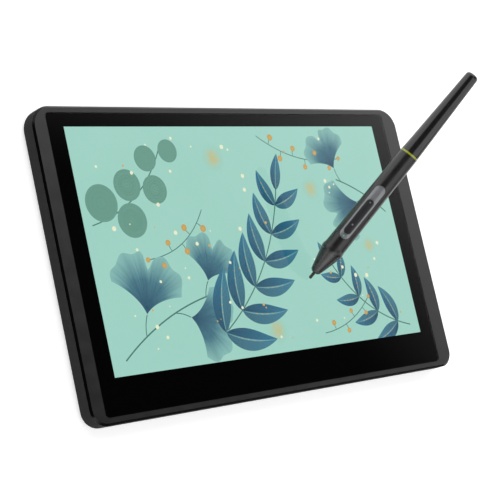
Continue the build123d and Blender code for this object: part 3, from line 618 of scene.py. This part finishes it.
def draw_picture():
    """Generic leaf picture, in colours like the photographed screen's"""
    twigs = Picture("picture_twigs", 1, paint_twig)
    round_leaves = Picture("picture_round_leaves", 2, paint_round_leaf)
    fans = Picture("picture_fans", 3, paint_fan)
    leaves = Picture("picture_leaves", 4, paint_long_leaf)
    berries = Picture("picture_berries", 5, paint_berry)
    petals = Picture("picture_petals", 6, paint_petal)
    puffs = Picture("picture_puffs", 0.4, paint_puff)
    for place, radius in gold_puffs:
        puffs.disc(Vector(place), radius, segments=36)
    start, end, *shape = leaf_twig
    draw_round_leaves(round_leaves, twigs, Vector(start), Vector(end), *shape)
    for foot, degrees, *shape in fan_twigs:
        draw_fans(fans, twigs, Vector(foot), math.radians(degrees), *shape)
    for start, end, *shape in sprays:
        draw_spray(leaves, twigs, berries, Vector(start), Vector(end), *shape)
    for start, end, *shape in berry_twigs:
        draw_berries(berries, twigs, Vector(start), Vector(end), *shape)
    scatter_dots(petals)
    for picture in (puffs, twigs, round_leaves, fans, leaves, berries, petals):
        picture.finish()


def scatter_dots(petals):
    """Loose cream dots, and smaller gold ones among them"""
    rng = random.Random(7)
    for _ in range(loose_dots):
        across = rng.uniform(-0.48, 0.48) * active_width
        along = rng.uniform(-0.47, 0.47) * active_height
        tone = rng.choice((0.0, 0.0, 1.0))
        radius = rng.uniform(smallest_dot, largest_dot) * (1 - 0.35 * tone)
        petals.disc(Vector((across, along)), radius, tone, 14)


# Finish of each carried-over piece

def give(material, *names):
    for name in names:
        data = nodes[name].data
        data.materials.clear()
        data.materials.append(material)


def dress_tablet():
    give(satin_frame("frame_plastic"), "front_frame", "power_button")
    give(moulded("shell_plastic", srgb(49, 49, 50), 0.7, depth=0.02, Specular_IOR_Level=0.05), "back_shell")
    give(clear_glass("cover_glass"), "cover_glass")
    give(printed_border("black_print"), "black_mask")
    give(glowing("screen_ground", paint_ground), "lcd_cell")
    give(moulded("tape", srgb(13, 13, 13), 0.8), "glass_tape")
    give(moulded("optical_film", srgb(207, 210, 212), 0.4), "diffuser_film", "reflector_sheet")
    give(moulded("light_guide", srgb(200, 209, 210), 0.15, depth=0.002), "light_guide")
    give(rolled("sheet_metal", srgb(174, 175, 176), 0.35), "panel_tray", "shield_sheet", "board_shield_can")
    give(rolled("aluminium_plate", srgb(182, 184, 186), 0.4), "support_plate")
    give(circuit_board("board_green"), "digitizer_board", "main_board", "lcd_driver_board", "led_strip")
    give(moulded("chip_black", srgb(22, 22, 23), 0.55), "board_chips", "power_switch")
    give(moulded("connector_ivory", srgb(198, 189, 167), 0.45), "board_connectors")
    give(flat_cable("flex_amber"), "lcd_flex_strips", "display_cable", "digitizer_cable")
    give(rolled("screw_steel", srgb(76, 76, 77), 0.3), "plate_screws", "board_screws", "case_screws")
    give(rolled("socket_steel", srgb(169, 169, 171), 0.28, (12.0, 1.0, 12.0)), "usb_port_1", "usb_port_2")
    give(moulded("tongue_black", srgb(11, 11, 12), 0.4), "usb_tongue_1", "usb_tongue_2", "panel_frame")
    give(moulded("foot_rubber", srgb(25, 25, 25), 0.85, grain=0.5, depth=0.04),
         "rubber_foot_1", "rubber_foot_2", "rubber_foot_3", "rubber_foot_4")
    give(moulded("light_pipe", srgb(133, 200, 182), 0.2, depth=0.002), "power_light_pipe")


def dress_pen():
    give(moulded("pen_nib", srgb(51, 51, 52), 0.5, grain=0.2), "pen_nib")
    give(moulded("pen_nose", srgb(40, 39, 40), 0.28, grain=0.25, Specular_IOR_Level=0.69),
         "pen_nose_cone")
    give(moulded("pen_grip", srgb(25, 25, 25), 0.31, grain=0.25, Specular_IOR_Level=0.69),
         "pen_grip_barrel")
    give(moulded("pen_barrel", srgb(24, 24, 25), 0.2, grain=0.25, Specular_IOR_Level=0.77),
         "pen_rear_barrel")
    give(moulded("pen_ring", srgb(165, 172, 40), 0.2, depth=0.003, Specular_IOR_Level=0.77),
         "pen_accent_ring")
    give(moulded("pen_inlay", srgb(140, 142, 145), 0.3, grain=0.2, Metallic=0.35), "pen_switch_inlay")
    give(marked_rocker("pen_rocker"), "pen_rocker")
    give(rolled("pin_steel", srgb(133, 133, 135), 0.3), "pen_rocker_pin", "pen_side_switches",
         "pen_pressure_sensor")
    give(moulded("pen_light", srgb(106, 201, 183), 0.2, depth=0.002), "pen_light_pipe")
    give(moulded("ferrite", srgb(54, 54, 56), 0.6), "pen_ferrite_core")
    give(copper_winding("copper_wire"), "pen_coil")
    give(circuit_board("pen_board_green"), "pen_circuit_board")
    give(moulded("holder_black", srgb(20, 20, 21), 0.45), "pen_nib_holder")


# Studio

def build_floor():
    """Plain pale floor that keeps the shadow and shows as white, also in gloss and glass"""
    bpy.ops.mesh.primitive_grid_add(x_subdivisions=4, y_subdivisions=4, size=floor_size)
    floor = bpy.context.object
    floor.name = "floor"
    tree = Tree("floor_paper", Roughness=0.9, Specular_IOR_Level=0.0)
    tree.colour(tree.mix(tree.noise(paper_cloud_size * MM), srgb(236, 236, 236), srgb(240, 240, 240)))
    path = tree.add("ShaderNodeLightPath").outputs
    seen = tree.math("MAXIMUM", tree.math("MAXIMUM", path["Is Camera Ray"], path["Is Glossy Ray"]),
                     path["Is Transmission Ray"])
    tree.shader.inputs["Emission Color"].default_value = (1.0, 1.0, 1.0, 1.0)
    tree.links.new(tree.math("MULTIPLY", seen, floor_glow), tree.shader.inputs["Emission Strength"])
    floor.data.materials.append(tree.material)


def build_world():
    """Even studio light with cards in it; the background itself shows as plain white"""
    world = bpy.data.worlds.new("studio")
    bpy.context.scene.world = world
    world.use_nodes = True
    graph = Graph(world.node_tree)
    background = graph.nodes["Background"]
    background.inputs["Color"].default_value = (1.0, 1.0, 1.0, 1.0)
    direction = graph.add("ShaderNodeTexCoord").outputs["Generated"]
    light = studio_light
    for middle, full, end, level in cards:
        nearness = graph.add("ShaderNodeVectorMath", operation="DOT_PRODUCT")
        graph.links.new(direction, nearness.inputs[0])
        nearness.inputs[1].default_value = middle.normalized()
        passed = graph.range(nearness.outputs["Value"], math.cos(math.radians(full)),
                             math.cos(math.radians(end)), level, 1.0, "SMOOTHSTEP")
        light = graph.math("MULTIPLY", light, passed)
    path = graph.add("ShaderNodeLightPath").outputs
    plain = graph.math("MAXIMUM", path["Is Camera Ray"], path["Is Transmission Ray"])
    graph.links.new(graph.range(plain, 0.0, 1.0, light, 1.0), background.inputs["Strength"])


def build_camera():
    data = bpy.data.cameras.new("camera")
    data.sensor_width = sensor_width
    data.lens = focal_pixels * sensor_width / image_pixels
    camera = bpy.data.objects.new("camera", data)
    back = -camera_view.normalized()
    right = camera_up.cross(back).normalized()
    up = back.cross(right)
    middle = Vector((active_middle.x, active_middle.y, glass_top))
    rotation = Matrix((right, up, back)).transposed().to_4x4()
    camera.matrix_world = Matrix.Translation(middle + camera_place * MM) @ rotation
    bpy.context.scene.collection.objects.link(camera)
    bpy.context.scene.camera = camera


dress_tablet()
dress_pen()
draw_picture()
build_floor()
build_world()
build_camera()
bpy.context.scene.view_settings.view_transform = "Standard"
